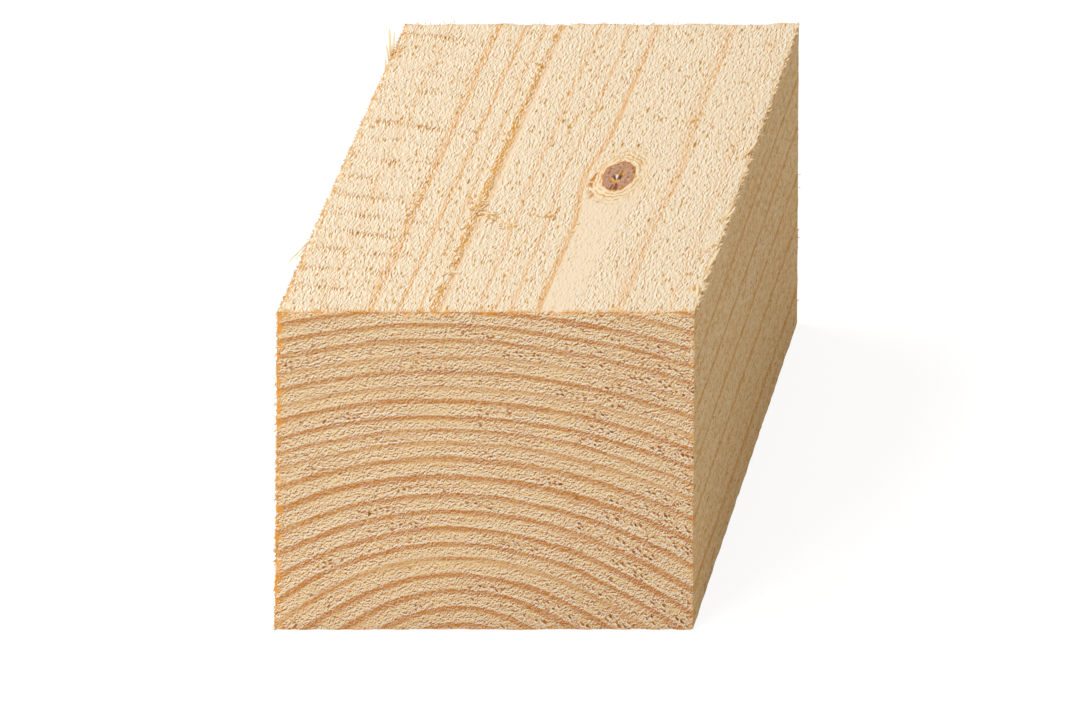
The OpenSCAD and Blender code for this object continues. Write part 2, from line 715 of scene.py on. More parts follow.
def new_group(name, inputs, outputs):
    """A shader node group with named inputs and outputs, and the sockets that hold what it takes."""
    group = bpy.data.node_groups.new(name, "ShaderNodeTree")
    for direction, labels in (("INPUT", inputs), ("OUTPUT", outputs)):
        for label in labels:
            kind = "NodeSocket" + SOCKET_KINDS.get(label, "Float")
            group.interface.new_socket(label, in_out=direction, socket_type=kind)
    return group, group.nodes.new("NodeGroupInput").outputs


def give(group, **results):
    """Links each result to the group's output of that name."""
    given = group.nodes.new("NodeGroupOutput").inputs
    for name, value in results.items():
        group.links.new(value, given[name])
    return group


def use_group(tree, group, inputs):
    return put(tree, "Group", inputs, node_tree=group).outputs


def growth_band():
    """Late wood of each growth ring: a soft inner side, a sharp outer edge and a bright rim past it."""
    group, taken = new_group("growth_band", ("Rings", "Share", "Soft", "Strength"), ("Band", "Rim"))
    part = maths(group, "FRACT", taken["Rings"])
    full = maths(group, "SUBTRACT", 1.0, taken["Share"])
    start = maths(group, "SUBTRACT", full, taken["Soft"])
    body = times(group, remap(group, part, start, full), remap(group, part, 1.0, 0.93), taken["Strength"])
    rim = times(group, remap(group, part, 0.0, 0.05), remap(group, part, 0.22, 0.08), taken["Strength"])
    return give(group, Band=body, Rim=rim)


def sawn_fuzz():
    """Felt of torn fibres: its height, painted highlight on the flanks that face the lamps, painted shade on
    the flanks that face away, and the deepest painted shade.
    """
    group, taken = new_group("sawn_fuzz", ("Place", "Tear"), ("Height", "Fleck", "Pit", "Deep"))
    height, ahead, behind = (
        grain_noise(group, vector_maths(group, "ADD", taken["Place"], (shift, 0, 0)), 2.0, 0.65, curl=1.0)
        for shift in (0.0, 0.3, -0.3)
    )
    # The slope runs towards the lamps, so its rise is painted highlight and its fall is painted shade
    slope = maths(group, "SUBTRACT", ahead, behind)
    torn = maths(group, "SUBTRACT", slope, times(group, taken["Tear"], 0.2))
    return give(
        group,
        Height=height,
        Fleck=remap(group, slope, 0.03, 0.11),
        Pit=remap(group, torn, -0.07, -0.15),
        Deep=remap(group, torn, -0.2, -0.3),
    )


def arris_stain():
    """Golden bruise along the sawn edges: 1 on an edge, fading inwards in ragged patches.
    It is wider and stronger at the lit left, where it is also painted glow of light through the thin edge,
    and weaker at the right and at the foot."""
    group, taken = new_group("arris_stain", ("Width",), ("Stain",))
    place = put(group, "TexCoord", {}).outputs["Object"]
    away = vector_maths(group, "SUBTRACT", place, tuple((LOW + HIGH) / 2 * MM))
    away = vector_maths(group, "ABSOLUTE", away)
    gaps = vector_maths(group, "SUBTRACT", tuple((HIGH - LOW) / 2 * MM), away)
    gap = put(group, "SeparateXYZ", {0: gaps}).outputs
    least = maths(group, "MINIMUM", gap["X"], gap["Y"])
    most = maths(group, "MAXIMUM", gap["X"], gap["Y"])
    second = maths(group, "MAXIMUM", least, maths(group, "MINIMUM", most, gap["Z"]))
    spot = put(group, "SeparateXYZ", {0: place}).outputs
    beside = {}
    for name in ("left", "right", "underside"):
        axis, side = FACES[name]
        start, full = ((level(name) - side * distance) * MM for distance in ARRIS_ZONE)
        beside[name] = remap(group, spot[axis], start, full)
    ragged = grain_noise(group, stretched(group, (1.1, 1.1, 1.1)), 2.0)
    wider = maths(group, "ADD", beside["left"], 1.0)
    reach = times(group, taken["Width"], remap(group, ragged, 0.42, 0.58, 0.1, 1.5), wider)
    spared = times(group, maths(group, "MAXIMUM", beside["right"], beside["underside"]), 0.5)
    share = maths(group, "ADD", times(group, beside["left"], 0.2), 0.8)
    share = times(group, share, maths(group, "SUBTRACT", 1.0, spared))
    return give(group, Stain=times(group, remap(group, second, reach, 0.0), share))


def face_wood(timber, band_group):
    """Colour of the long faces before knots and tears: pale wood, warm streaks and grain lines."""
    group, taken = new_group("face_wood", FACE_LABELS, ("Colour", "Band"))
    streaks = swing(group, (7.0, 45.0, 7.0), 3.0, 0.8)
    paleness = maths(group, "ADD", remap(group, taken["Torn"], 0.0, 0.75), streaks)
    count = maths(group, "ADD", taken["Rings"], swing(group, (0.7, 6.0, 0.7), 2.0, 0.1))
    inputs = {"Rings": count, "Share": LATE_SHARE, "Soft": 0.25, "Strength": taken["Strength"]}
    line = use_group(group, band_group, inputs)["Band"]
    shade = layered(
        group,
        timber.warm,
        # Side wood, partly painted warm shade on the shaded right face
        (taken["Side"], timber.side),
        (paleness, timber.pale),
        (times(group, line, 0.85), timber.line),
        (times(group, line, taken["Side"], 0.5), timber.late),
    )
    return give(group, Colour=shade, Band=line)


def end_wood(timber, band_group):
    """Colour of the sawn ends before tears: early wood and late wood in arched rings."""
    group, taken = new_group("end_wood", END_LABELS, ("Colour",))
    count = maths(group, "ADD", taken["Rings"], swing(group, (0.7, 30.0, 0.7), 2.0, 0.12))
    inputs = {"Rings": count, "Share": LATE_SHARE, "Soft": 0.28, "Strength": taken["Strength"]}
    ring = use_group(group, band_group, inputs)
    ticks = grain_noise(group, stretched(group, (0.3, 30.0, 1.1), math.radians(-14)), 2.0)
    dark = times(group, ring["Band"], remap(group, ticks, 0.35, 0.65, 0.65, 1.2))
    thin_layers = grain_noise(group, ring_place(group, count, 12.0, 8.0), 1.0)
    dark = maths(group, "ADD", dark, remap(group, thin_layers, 0.5, 0.68, 0.0, 0.42), clamp=True)
    rim = times(group, ring["Rim"], 0.3)
    return give(group, Colour=layered(group, timber.early, (dark, timber.late), (rim, timber.fleck)))


# Materials

# How much dry wood shines, and the depth of the felt that only the shading shows
DRY_SHINE = 0.04
FELT_DEPTH = 0.016


def new_material(name, roughness):
    """A material with a principled surface, and that surface's node."""
    material = bpy.data.materials.new(name)
    material.use_nodes = True
    tree = material.node_tree
    surface = tree.nodes["Principled BSDF"]
    surface.inputs["Roughness"].default_value = roughness
    surface.inputs["Specular IOR Level"].default_value = DRY_SHINE
    return material, tree, surface


def bump(tree, surface, height):
    node = put(tree, "Bump", {"Height": height, "Distance": FELT_DEPTH * MM, "Strength": 1.0})
    tree.links.new(node.outputs[0], surface.inputs["Normal"])


def knot_colours(tree, below, knot, spread):
    """The knot over the colour below: swirled halo, bark rim, core and star crack, with painted shade in the
    crack.
    """
    reach = maths(tree, "ADD", spread, swing(tree, (1.3, 1.8, 1.3), 2.0, 0.3))
    drifted = maths(tree, "ADD", reach, swing(tree, (2.2, 3.2, 2.2), 2.0, 0.5))
    turns = maths(tree, "FRACT", times(tree, drifted, 4.4))
    swirl = times(tree, remap(tree, turns, 0.45, 0.75), remap(tree, turns, 1.0, 0.86))
    broken = remap(tree, grain_noise(tree, stretched(tree, (1.1, 1.9, 1.1)), 1.0), 0.36, 0.52)
    swirl = times(tree, swirl, broken, remap(tree, reach, 2.3, 1.5), 0.9)
    halo = times(tree, remap(tree, reach, 2.4, 1.2), 0.5)
    mottle = grain_noise(tree, stretched(tree, (0.32, 0.7, 0.32)), 2.0, 0.65, curl=0.6)
    core = layered(
        tree,
        knot.core,
        (remap(tree, mottle, 0.44, 0.54), knot.heart),
        (times(tree, remap(tree, mottle, 0.47, 0.38), 0.8), knot.streak),
        (times(tree, remap(tree, mottle, 0.54, 0.62), 0.35), knot.halo),
    )
    edge = maths(tree, "ABSOLUTE", maths(tree, "SUBTRACT", reach, 1.0))
    return layered(
        tree,
        below,
        (halo, knot.halo),
        (swirl, knot.gold),
        (remap(tree, reach, 1.02, 0.94), core),
        (remap(tree, edge, 0.07, 0.01), knot.rim),
        (reading(tree, "tear"), knot.rim),
        (reading(tree, "gold"), knot.gold),
        (times(tree, reading(tree, "streak"), 0.85), knot.streak),
        # Painted shade in the depth of the star crack
        (reading(tree, "slot"), knot.slot),
        (reading(tree, "chip"), knot.chip),
    )


def felted(tree, below, fuzz, rough, timber, flanks, pit_share, fleck_share):
    """A colour with the painted shade and painted highlight of the fibres' flanks over it, by how rough the
    surface is.
    """
    dark, pale = flanks
    return layered(
        tree,
        below,
        (times(tree, fuzz["Pit"], rough, pit_share), dark),
        (times(tree, fuzz["Deep"], rough, pit_share), timber.canal),
        (times(tree, fuzz["Fleck"], rough, fleck_share), pale),
    )


def dashes(tree, place, chance, reach, dimensions="3D"):
    """Small ragged dashes, one in some of the cells of a place: the whole of each, and its dark core."""
    stray = put(tree, "TexNoise", {"Vector": place, "Scale": 2.6, "Detail": 2.0}).outputs["Color"]
    stray = vector_maths(tree, "SUBTRACT", stray, (0.5, 0.5, 0.5))
    stray = vector_maths(tree, "MULTIPLY", stray, (0.8, 0.8, 0.8))
    inputs = {"Vector": vector_maths(tree, "ADD", place, stray), "Scale": 1.0, "Randomness": 1.0}
    cells = put(tree, "TexVoronoi", inputs, voronoi_dimensions=dimensions).outputs
    luck = put(tree, "SeparateColor", {0: cells["Color"]}).outputs
    chosen = maths(tree, "LESS_THAN", luck[0], chance)
    size = times(tree, maths(tree, "ADD", times(tree, luck[1], 0.7), 0.6), reach)
    near = maths(tree, "DIVIDE", cells["Distance"], size)
    whole = times(tree, remap(tree, near, 1.0, 0.75), chosen)
    core = times(tree, remap(tree, near, 0.85, 0.5), chosen, remap(tree, luck[2], 0.5, 1.0))
    return whole, core


def dashed(tree, below, marks, share, tint, core_tint):
    """A colour with dashes over it, each in one tint with a darker core."""
    whole, core = marks
    return layered(tree, below, (times(tree, whole, share), tint), (times(tree, core, share), core_tint))


def sawn_face(timber, knot, groups):
    """Long faces: grain lines, felted tears with painted shade and painted highlight on the fibres' flanks,
    golden specks that are partly painted shade, resin canals and the knot.
    """
    _, tree, surface = new_material("sawn_face", roughness=0.8)
    sockets = {label: reading(tree, label.lower()) for label in FACE_LABELS}
    torn, side = sockets["Torn"], sockets["Side"]
    wood = use_group(tree, groups["face_wood"], sockets)
    gilt = reading(tree, "gilt")
    gilded = remap(tree, maths(tree, "ADD", gilt, swing(tree, (0.8, 1.3, 0.8), 1.0, 2.0)), 0.4, 0.6)
    shade = mix(tree, times(tree, gilded, remap(tree, gilt, 0.1, 0.3)), wood["Colour"], timber.tuft)
    rough = remap(tree, torn, 0.0, 0.6, 0.35, 1.0)
    rough = maths(tree, "ADD", rough, times(tree, side, 0.2), clamp=True)
    felt = {"Place": stretched(tree, (0.4, 1.2, 0.4)), "Tear": reading(tree, "scuff")}
    fuzz = use_group(tree, groups["sawn_fuzz"], felt)
    # Painted shade and painted highlight of the flanks, with a paler, warmer highlight on the narrow faces
    flanks = (timber.pit, mix(tree, side, timber.fleck, timber.cream))
    shade = felted(tree, shade, fuzz, rough, timber, flanks, pit_share=0.8, fleck_share=0.85)
    # Golden specks, partly painted shade in the hollows between fibres, with darker cores; the second set of
    # dashes are resin canals
    chance = remap(tree, wood["Band"], 0.0, 1.0, 0.5, 0.85)
    specks = dashes(tree, stretched(tree, (0.52, 2.2, 0.52)), chance, reach=0.28)
    chance = remap(tree, side, 0.0, 1.0, 0.22, 0.6)
    canals = dashes(tree, stretched(tree, (0.85, 3.2, 0.85)), chance, reach=0.24)
    for marks in (specks, canals):
        shade = dashed(tree, shade, marks, rough, timber.speck, timber.canal)
    shade = knot_colours(tree, shade, knot, reading(tree, "knot"))
    # Golden edge stain, partly painted glow of light through the lit left edge
    stain = use_group(tree, groups["arris_stain"], {"Width": 0.9 * MM})["Stain"]
    shade = mix(tree, times(tree, stain, 0.7), shade, timber.tuft)
    tree.links.new(shade, surface.inputs["Base Color"])
    bump(tree, surface, times(tree, fuzz["Height"], remap(tree, torn, 0.0, 1.0, 0.15, 1.0)))


def end_grain(timber, groups):
    """Sawn ends: arched rings, torn early wood with painted shade and painted highlight on its fibres'
    flanks, pits with a painted highlight beside each, and slanting saw scratches.
    """
    _, tree, surface = new_material("end_grain", roughness=0.85)
    sockets = {label: reading(tree, label.lower()) for label in END_LABELS}
    torn = reading(tree, "torn")
    shade = use_group(tree, groups["end_wood"], sockets)["Colour"]
    slant = stretched(tree, (0.38, 2.0, 0.56), math.radians(-68))
    fuzz = use_group(tree, groups["sawn_fuzz"], {"Place": slant, "Tear": times(tree, torn, 0.2)})
    rough = times(tree, remap(tree, torn, 0.1, 0.7, 0.35, 1.0), remap(tree, torn, 0.8, 1.0, 1.0, 0.7))
    flanks = (timber.hollow, timber.bright)
    shade = felted(tree, shade, fuzz, rough, timber, flanks, pit_share=1.0, fleck_share=0.9)
    slant = stretched(tree, (0.55, 2.0, 0.7), math.radians(-55))
    coarse = use_group(tree, groups["sawn_fuzz"], {"Place": slant, "Tear": 0.0})
    rough = remap(tree, torn, 0.85, 1.0)
    shade = felted(tree, shade, coarse, rough, timber, flanks, pit_share=0.5, fleck_share=0.15)
    spot = ring_place(tree, sockets["Rings"], 1.1, 4.5)
    # A painted highlight beside each of the pits: the same dashes, shifted a little
    beside = vector_maths(tree, "ADD", spot, (0.15, 0.45, 0.0))
    chance = remap(tree, torn, 0.75, 1.0, 0.03, 0.6)
    flakes, _ = dashes(tree, beside, chance, 0.3, "2D")
    flakes = times(tree, flakes, remap(tree, torn, 0.8, 1.0, 0.0, 0.75))
    shade = mix(tree, flakes, shade, timber.bright)
    # Pits: partly brown torn wood, partly painted shade in the hollows
    pits = dashes(tree, spot, chance, 0.33, "2D")
    pit_share = remap(tree, torn, 0.7, 1.0, 0.5, 0.95)
    shade = dashed(tree, shade, pits, pit_share, timber.hollow, timber.canal)
    # Golden edge stain, partly painted glow of light through the lit left edge
    stain = use_group(tree, groups["arris_stain"], {"Width": 0.75 * MM})["Stain"]
    shade = mix(tree, times(tree, stain, 0.95), shade, timber.arris)
    tree.links.new(shade, surface.inputs["Base Color"])
    bump(tree, surface, times(tree, fuzz["Height"], remap(tree, torn, 0.0, 1.0, 0.4, 1.0)))


def fibre_material(name, timber, wood_group, labels):
    """Torn fibres: the wood they are torn from, bleached or gilded by their own shares, and painted golden
    shade at their roots.
    """
    _, tree, surface = new_material(name, roughness=0.75)
    sockets = {label: reading(tree, label.lower()) for label in labels}
    shade = layered(
        tree,
        use_group(tree, wood_group, sockets)["Colour"],
        (reading(tree, "bleach"), timber.cream),
        (reading(tree, "gilt"), timber.tuft),
        # Painted shade at the roots, where the fibres shade one another and the skin
        (remap(tree, reading(tree, "run"), 0.55, 0.0, 0.0, 0.6), timber.pit),
    )
    tree.links.new(shade, surface.inputs["Base Color"])


def wood_materials(scene):
    """All the wood's materials, made once and kept by name."""
    if "sawn_face" in bpy.data.materials:
        return bpy.data.materials
    timber = scene.stud_timber
    band_group = growth_band()
    groups = {
        "sawn_fuzz": sawn_fuzz(),
        "arris_stain": arris_stain(),
        "face_wood": face_wood(timber, band_group),
        "end_wood": end_wood(timber, band_group),
    }
    sawn_face(timber, scene.stud_knot, groups)
    end_grain(timber, groups)
    fibre_material("face_fibre", timber, groups["face_wood"], FACE_LABELS)
    fibre_material("end_fibre", timber, groups["end_wood"], END_LABELS)
    return bpy.data.materials


# Meshes

# Thickness of a torn fibre as a share of its width
FIBRE_FLATNESS = 0.2
# A knot's spread where there is no knot
FAR_OFF = 9.0
# Spacing of the skin's grid along each axis, as shares of that across the stud
GRID_STRETCH = (1.0, 1.4, 1.25)
# The finer grid over the knot: how far it reaches, in the knot's own half sizes, and its cuts of each edge
FINE_REACH = 1.8
FINE_CUTS = 3
# Radius of the ball round the knot that holds the whole finer grid, in the larger half size
FINE_BALL = 2.4
# Sides and bends of each kind of sliver
SLIVERS = {"hair": (3, 2), "tuft": (3, 4), "splinter": (5, 7)}
# How deep the roots of fibres and tufts lie in the wood, and the least height of a fibre over the floor
ROOT_DEPTH = 0.06
TUFT_DEPTH = 0.04
FLOOR_GAP = 0.02
# Share of an edge's fringe that is short stubs, and how many fibres a clump of a torn tuft has
STUB_SHARE = 0.4
CLUMP = 6
# Seeds of the fibres on the long faces, on the ends and at the edges
FACE_SEED = 11
END_SEED = 12
EDGE_SEED = 13


def add_piece(name, mesh, *materials):
    """A finished piece at the origin that rides with the stud."""
    for material in materials:
        mesh.materials.append(material)
    piece = bpy.data.objects.new(name, mesh)
    bpy.context.scene.collection.objects.link(piece)
    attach(piece, "root")
    return piece


def write_numbers(mesh, name, values, domain):
    layer = mesh.attributes.new(name, "FLOAT", domain)
    layer.data.foreach_set("value", np.ascontiguousarray(values, dtype=np.float32))


def write_map(mesh, corners):
    layer = mesh.uv_layers.new(name="OFBake")
    layer.uv.foreach_set("vector", np.ascontiguousarray(corners, dtype=np.float32).ravel())


def gridded_block(spacing, knot):
    """A block the size of the stud, cut into a fine grid on every face, finest over the knot."""
    size = Vector(HIGH - LOW) * MM
    middle = Vector(HIGH + LOW) / 2 * MM
    cutter = bmesh.new()
    block = Matrix.Translation(middle) @ Matrix.Diagonal((*size, 1))
    bmesh.ops.create_cube(cutter, size=1, matrix=block)
    for axis, stretch in enumerate(GRID_STRETCH):
        half = size[axis] / 2
        runs = [e for e in cutter.edges if abs(e.verts[0].co[axis] - e.verts[1].co[axis]) > half]
        cuts = round(size[axis] / (spacing * stretch)) - 1
        bmesh.ops.subdivide_edges(cutter, edges=runs, cuts=cuts, use_grid_fill=True)
    reach = FINE_BALL * max(knot.half_width, knot.half_length)
    over = Vector((knot.across, knot.along, HIGH[2] * MM))
    close = [e for e in cutter.edges if all((v.co - over).length < reach for v in e.verts)]
    places = np.array([[(v.co / MM)[:] for v in e.verts] for e in close])
    core = (knot_spread(places.reshape(-1, 3), knot) < FINE_REACH).reshape(-1, 2).all(axis=1)
    inner = [e for e, chosen in zip(close, core) if chosen]
    bmesh.ops.subdivide_edges(cutter, edges=inner, cuts=FINE_CUTS, use_grid_fill=True)
    mesh = bpy.data.meshes.new("stud")
    cutter.to_mesh(mesh)
    cutter.free()
    return mesh


def points_of(mesh):
    flat = np.empty(len(mesh.vertices) * 3, dtype=np.float32)
    mesh.vertices.foreach_get("co", flat)
    return flat.reshape(-1, 3).astype(float) / MM


def whole_numbers(items, name):
    found = np.empty(len(items), dtype=np.int32)
    items.foreach_get(name, found)
    return found


def keep_edges_crisp(mesh, points):
    """Marks the block's own edges as sharp, so that no shading runs round them."""
    pairs = np.empty(len(mesh.edges) * 2, dtype=np.int32)
    mesh.edges.foreach_get("vertices", pairs)
    first, second = pairs.reshape(-1, 2).T
    masks = [on_face(points, name) for name in FACES]
    shared = sum((mask[first] & mask[second]).astype(int) for mask in masks)
    layer = mesh.attributes.new("sharp_edge", "BOOLEAN", "EDGE")
    layer.data.foreach_set("value", shared > 1)


def sawn_skin(sawing, knot):
    """The stud's skin: a gridded block with the saw's relief, and its materials' fields at each corner."""
    mesh = gridded_block(sawing.grid, knot)
    points = points_of(mesh)
    moved = points.copy()
    for name in FACES:
        here = on_face(points, name)
        moved[here] += np.outer(relief(points[here], name, sawing, knot), outward(name))
    corner_points = points[whole_numbers(mesh.loops, "vertex_index")]
    totals = whole_numbers(mesh.polygons, "loop_total")
    polygon_of = np.repeat(np.arange(len(totals)), totals)
    labels = ("rings", "strength", "torn", "side", "scuff", "gilt", "knot", *KNOT_KINDS)
    fields = {field: np.zeros(len(corner_points)) for field in labels}
    sheet = np.zeros((len(corner_points), 2))
    ends = np.zeros(len(totals), dtype=np.int32)
    for name in FACES:
        off = ~on_face(corner_points, name)
        inside = np.bincount(polygon_of, weights=off) == 0
        corners = inside[polygon_of]
        spots = corner_points[corners]
        fields["rings"][corners], fields["strength"][corners] = rings_on(spots, name, knot)
        fields["torn"][corners] = torn_share(spots, name, knot)
        fields["side"][corners] = SIDES.get(name, 0.0)
        fields["scuff"][corners] = saw_scuff(spots, name)
        fields["knot"][corners] = knot_spread(spots, knot) if name == "top" else FAR_OFF
        if name == "top":
            fields["gilt"][corners] = furrow_gilt(spots)
            for kind, mask in knot_marks(spots, knot).items():
                fields[kind][corners] = mask
        sheet[corners] = unfold(spots, name)
        ends[inside] = name in ENDS
    mesh.vertices.foreach_set("co", (moved * MM).astype(np.float32).ravel())
    mesh.polygons.foreach_set("material_index", ends)
    mesh.polygons.foreach_set("use_smooth", np.ones(len(ends), dtype=bool))
    keep_edges_crisp(mesh, points)
    for field, values in fields.items():
        write_numbers(mesh, field, values, "CORNER")
    write_map(mesh, sheet)
    mesh.update()
    return mesh


def sliver_shape(kind):
    """One pointed sliver from -1 to 1 along Z, as vertices and triangles."""
    sides, bends = SLIVERS[kind]
    shape = bmesh.new()
    bmesh.ops.create_uvsphere(shape, u_segments=sides, v_segments=bends, radius=1)
    bmesh.ops.triangulate(shape, faces=shape.faces)
    shape.verts.index_update()
    vertices = np.array([vertex.co for vertex in shape.verts])
    triangles = np.array([[vertex.index for vertex in face.verts] for face in shape.faces])
    shape.free()
    return vertices, triangles


def unit(vectors):
    return vectors / np.maximum(np.linalg.norm(vectors, axis=-1, keepdims=True), 1e-9)


def bent_slivers(shape, roots, along, normals, sizes):
    """Copies of a sliver, one from each root and bent up to its tip, by length, width, lift and sway."""
    vertices, triangles = shape
    along = unit(along)
    sideways = unit(np.cross(normals, along))
    run = (vertices[:, 2] + 1) / 2
    offsets = along[:, None] * (sizes["length"][:, None] * run)[..., None]
    aside = sizes["sway"][:, None] * run**2 - sizes["width"][:, None] * vertices[:, 1]
    offsets = offsets + sideways[:, None] * aside[..., None]
    rise = sizes["lift"][:, None] * run**1.6 + sizes["width"][:, None] * FIBRE_FLATNESS * vertices[:, 0]
    offsets = offsets + normals[:, None] * rise[..., None]
    places = (roots[:, None] + offsets).reshape(-1, 3)
    numbers = triangles[None] + (np.arange(len(roots)) * len(vertices))[:, None, None]
    return places, numbers.reshape(-1, 3)


def fibre_mesh(name, parts):
    """One mesh of all parts. Each part has triangles, and a place, fields and a map place for each vertex."""
    places = np.concatenate([part["places"] for part in parts])
    shifts = np.cumsum([0] + [len(part["places"]) for part in parts[:-1]])
    triangles = np.concatenate([part["triangles"] + shift for part, shift in zip(parts, shifts)])
    places[:, 2] = np.maximum(places[:, 2], FLOOR_GAP)
    mesh = bpy.data.meshes.new(name)
    mesh.from_pydata((places * MM).tolist(), [], triangles.tolist(), shade_flat=True)
    for field in parts[0]["fields"]:
        values = np.concatenate([part["fields"][field] for part in parts])
        write_numbers(mesh, field, values, "POINT")
    sheet = np.concatenate([part["sheet"] for part in parts])
    write_map(mesh, sheet[whole_numbers(mesh.loops, "vertex_index")])
    mesh.update()
    return mesh


def add_fibres(name, parts, material):
    """A piece of joined fibres in one material."""
    add_piece(name, fibre_mesh(name, parts), material)


def fibre_part(shape, roots, name, along, sizes, bleach, gilt, knot):
    """Fibres of one face, with the fields that their material reads."""
    normals = np.tile(outward(name), (len(roots), 1))
    places, triangles = bent_slivers(shape, roots, along, normals, sizes)
    count, strength = rings_on(roots, name, knot)
    copies = len(shape[0])
    fields = {
        "rings": count,
        "strength": strength,
        "torn": torn_share(roots, name, knot),
        "side": np.full(len(roots), SIDES.get(name, 0.0)),
        "bleach": bleach,
        "gilt": gilt,
    }
    fields = {field: np.repeat(values, copies) for field, values in fields.items()}
    fields["run"] = np.tile((shape[0][:, 2] + 1) / 2, len(roots))
    return {
        "places": places,
        "triangles": triangles,
        "fields": fields,
        "sheet": np.clip(unfold(places, name), 0, 1),
    }


def spots_on(name, tries, knot, rng):
    """Random spots on a face, kept where it is torn."""
    axis, _ = FACES[name]
    spots = rng.uniform(LOW, HIGH, (tries, 3))
    spots[:, axis] = level(name)
    kept = rng.uniform(0, 1, tries) < torn_share(spots, name, knot)
    return spots[kept]


def face_fibres(name, tries, shape, scene, rng):
    """Felted fibres of a long face, most of them along the grain."""
    sawing, knot = scene.stud_sawing, scene.stud_knot
    roots = spots_on(name, tries, knot, rng)
    count = len(roots)
    torn = torn_share(roots, name, knot)
    roots = roots + np.outer(relief(roots, name, sawing, knot) - ROOT_DEPTH, outward(name))
    axis, _ = FACES[name]
    across = 0 if axis == 2 else 2
    along = np.zeros((count, 3))
    along[:, 1] = rng.choice((-1, 1), count)
    along[:, across] = rng.normal(0, 0.38, count)
    sizes = {
        "length": rng.uniform(0.7, 1.5, count) * (0.7 + 0.6 * torn),
        "width": rng.uniform(0.08, 0.17, count),
        "lift": rng.gamma(1.6, 0.03, count) * (0.4 + torn) + ROOT_DEPTH,
        "sway": rng.normal(0, 0.25, count),
    }
    bleach = np.clip(rng.normal(0.4, 0.28, count), 0, 0.9)
    gilt = 0.55 * (rng.uniform(0, 1, count) < 0.12)
    return fibre_part(shape, roots, name, along, sizes, bleach, gilt, knot)


def end_fibres(name, tries, shape, scene, rng):
    """Short tufts of a sawn end, swept up to the right by the saw."""
    sawing, knot = scene.stud_sawing, scene.stud_knot
    roots = spots_on(name, tries, knot, rng)
    count = len(roots)
    roots = roots + np.outer(relief(roots, name, sawing, knot) - ROOT_DEPTH, outward(name))
    turn = rng.normal(math.radians(48), 0.55, count) + np.pi * (rng.uniform(0, 1, count) < 0.4)
    along = np.stack((np.cos(turn), np.zeros(count), np.sin(turn)), axis=1)
    sizes = {
        "length": rng.uniform(0.35, 0.95, count),
        "width": rng.uniform(0.07, 0.16, count),
        "lift": rng.gamma(1.8, 0.05, count) + ROOT_DEPTH,
        "sway": rng.normal(0, 0.15, count),
    }
    bleach = np.clip(rng.normal(0.4, 0.28, count), 0, 0.9)
    gilt = 0.5 * (rng.uniform(0, 1, count) < 0.1)
    return fibre_part(shape, roots, name, along, sizes, bleach, gilt, knot)


def edge_fringe(past, within, density, reach, lean, breadth, shape, scene, rng):
    """Torn fringe of one sawn edge: pale hairs that stand out past one face, and golden stubs along it."""
    run_axis = 3 - FACES[past][0] - FACES[within][0]
    count = round(density * (HIGH - LOW)[run_axis])
    roots = rng.uniform(LOW, HIGH, (count, 3))
    for name in (past, within):
        axis, side = FACES[name]
        roots[:, axis] = level(name) - side * rng.uniform(0.15, 0.5, count)
    stub = rng.uniform(0, 1, count) < STUB_SHARE
    along = np.outer(rng.uniform(0.3, 1.0, count), outward(past))
    along += np.outer(rng.normal(0.1, 0.3, count), outward(within))
    along[:, run_axis] = rng.normal(lean, 0.45, count) + np.where(stub, np.sign(lean), 0)
    sizes = {
        "length": reach * np.where(stub, rng.uniform(0.8, 1.5, count), rng.uniform(0.9, 2.2, count)),
        "width": np.where(stub, rng.uniform(0.12, 0.24, count), breadth * rng.uniform(0.05, 0.11, count)),
        "lift": rng.uniform(0, 0.25, count),
        "sway": rng.normal(0, 0.2, count),
    }
    clumps = step_up(noise(roots, (1.3, 1.3, 1.3), 25), -0.4, 0.4)
    gilt = np.where(stub, 0.2 + 0.6 * clumps, 0.08)
    bleach = np.where(stub, 0.2, rng.uniform(0.4, 0.9, count))
    return fibre_part(shape, roots, within, along, sizes, bleach, gilt, scene.stud_knot)


def long_splinters(shape, scene, rng):
    """Splinters that stand off the edges of the top face and the front end."""
    roots, tips, half_widths = (np.array(column) for column in zip(*SPLINTERS))
    count = len(SPLINTERS)
    sizes = {
        "length": np.linalg.norm(tips - roots, axis=1),
        "width": half_widths,
        "lift": rng.uniform(0, 0.4, count),
        "sway": rng.normal(0, 0.35, count),
    }
    bleach = rng.uniform(0.6, 0.95, count)
    gilt = rng.uniform(0.0, 0.12, count)
    return fibre_part(shape, roots, "top", tips - roots, sizes, bleach, gilt, scene.stud_knot)


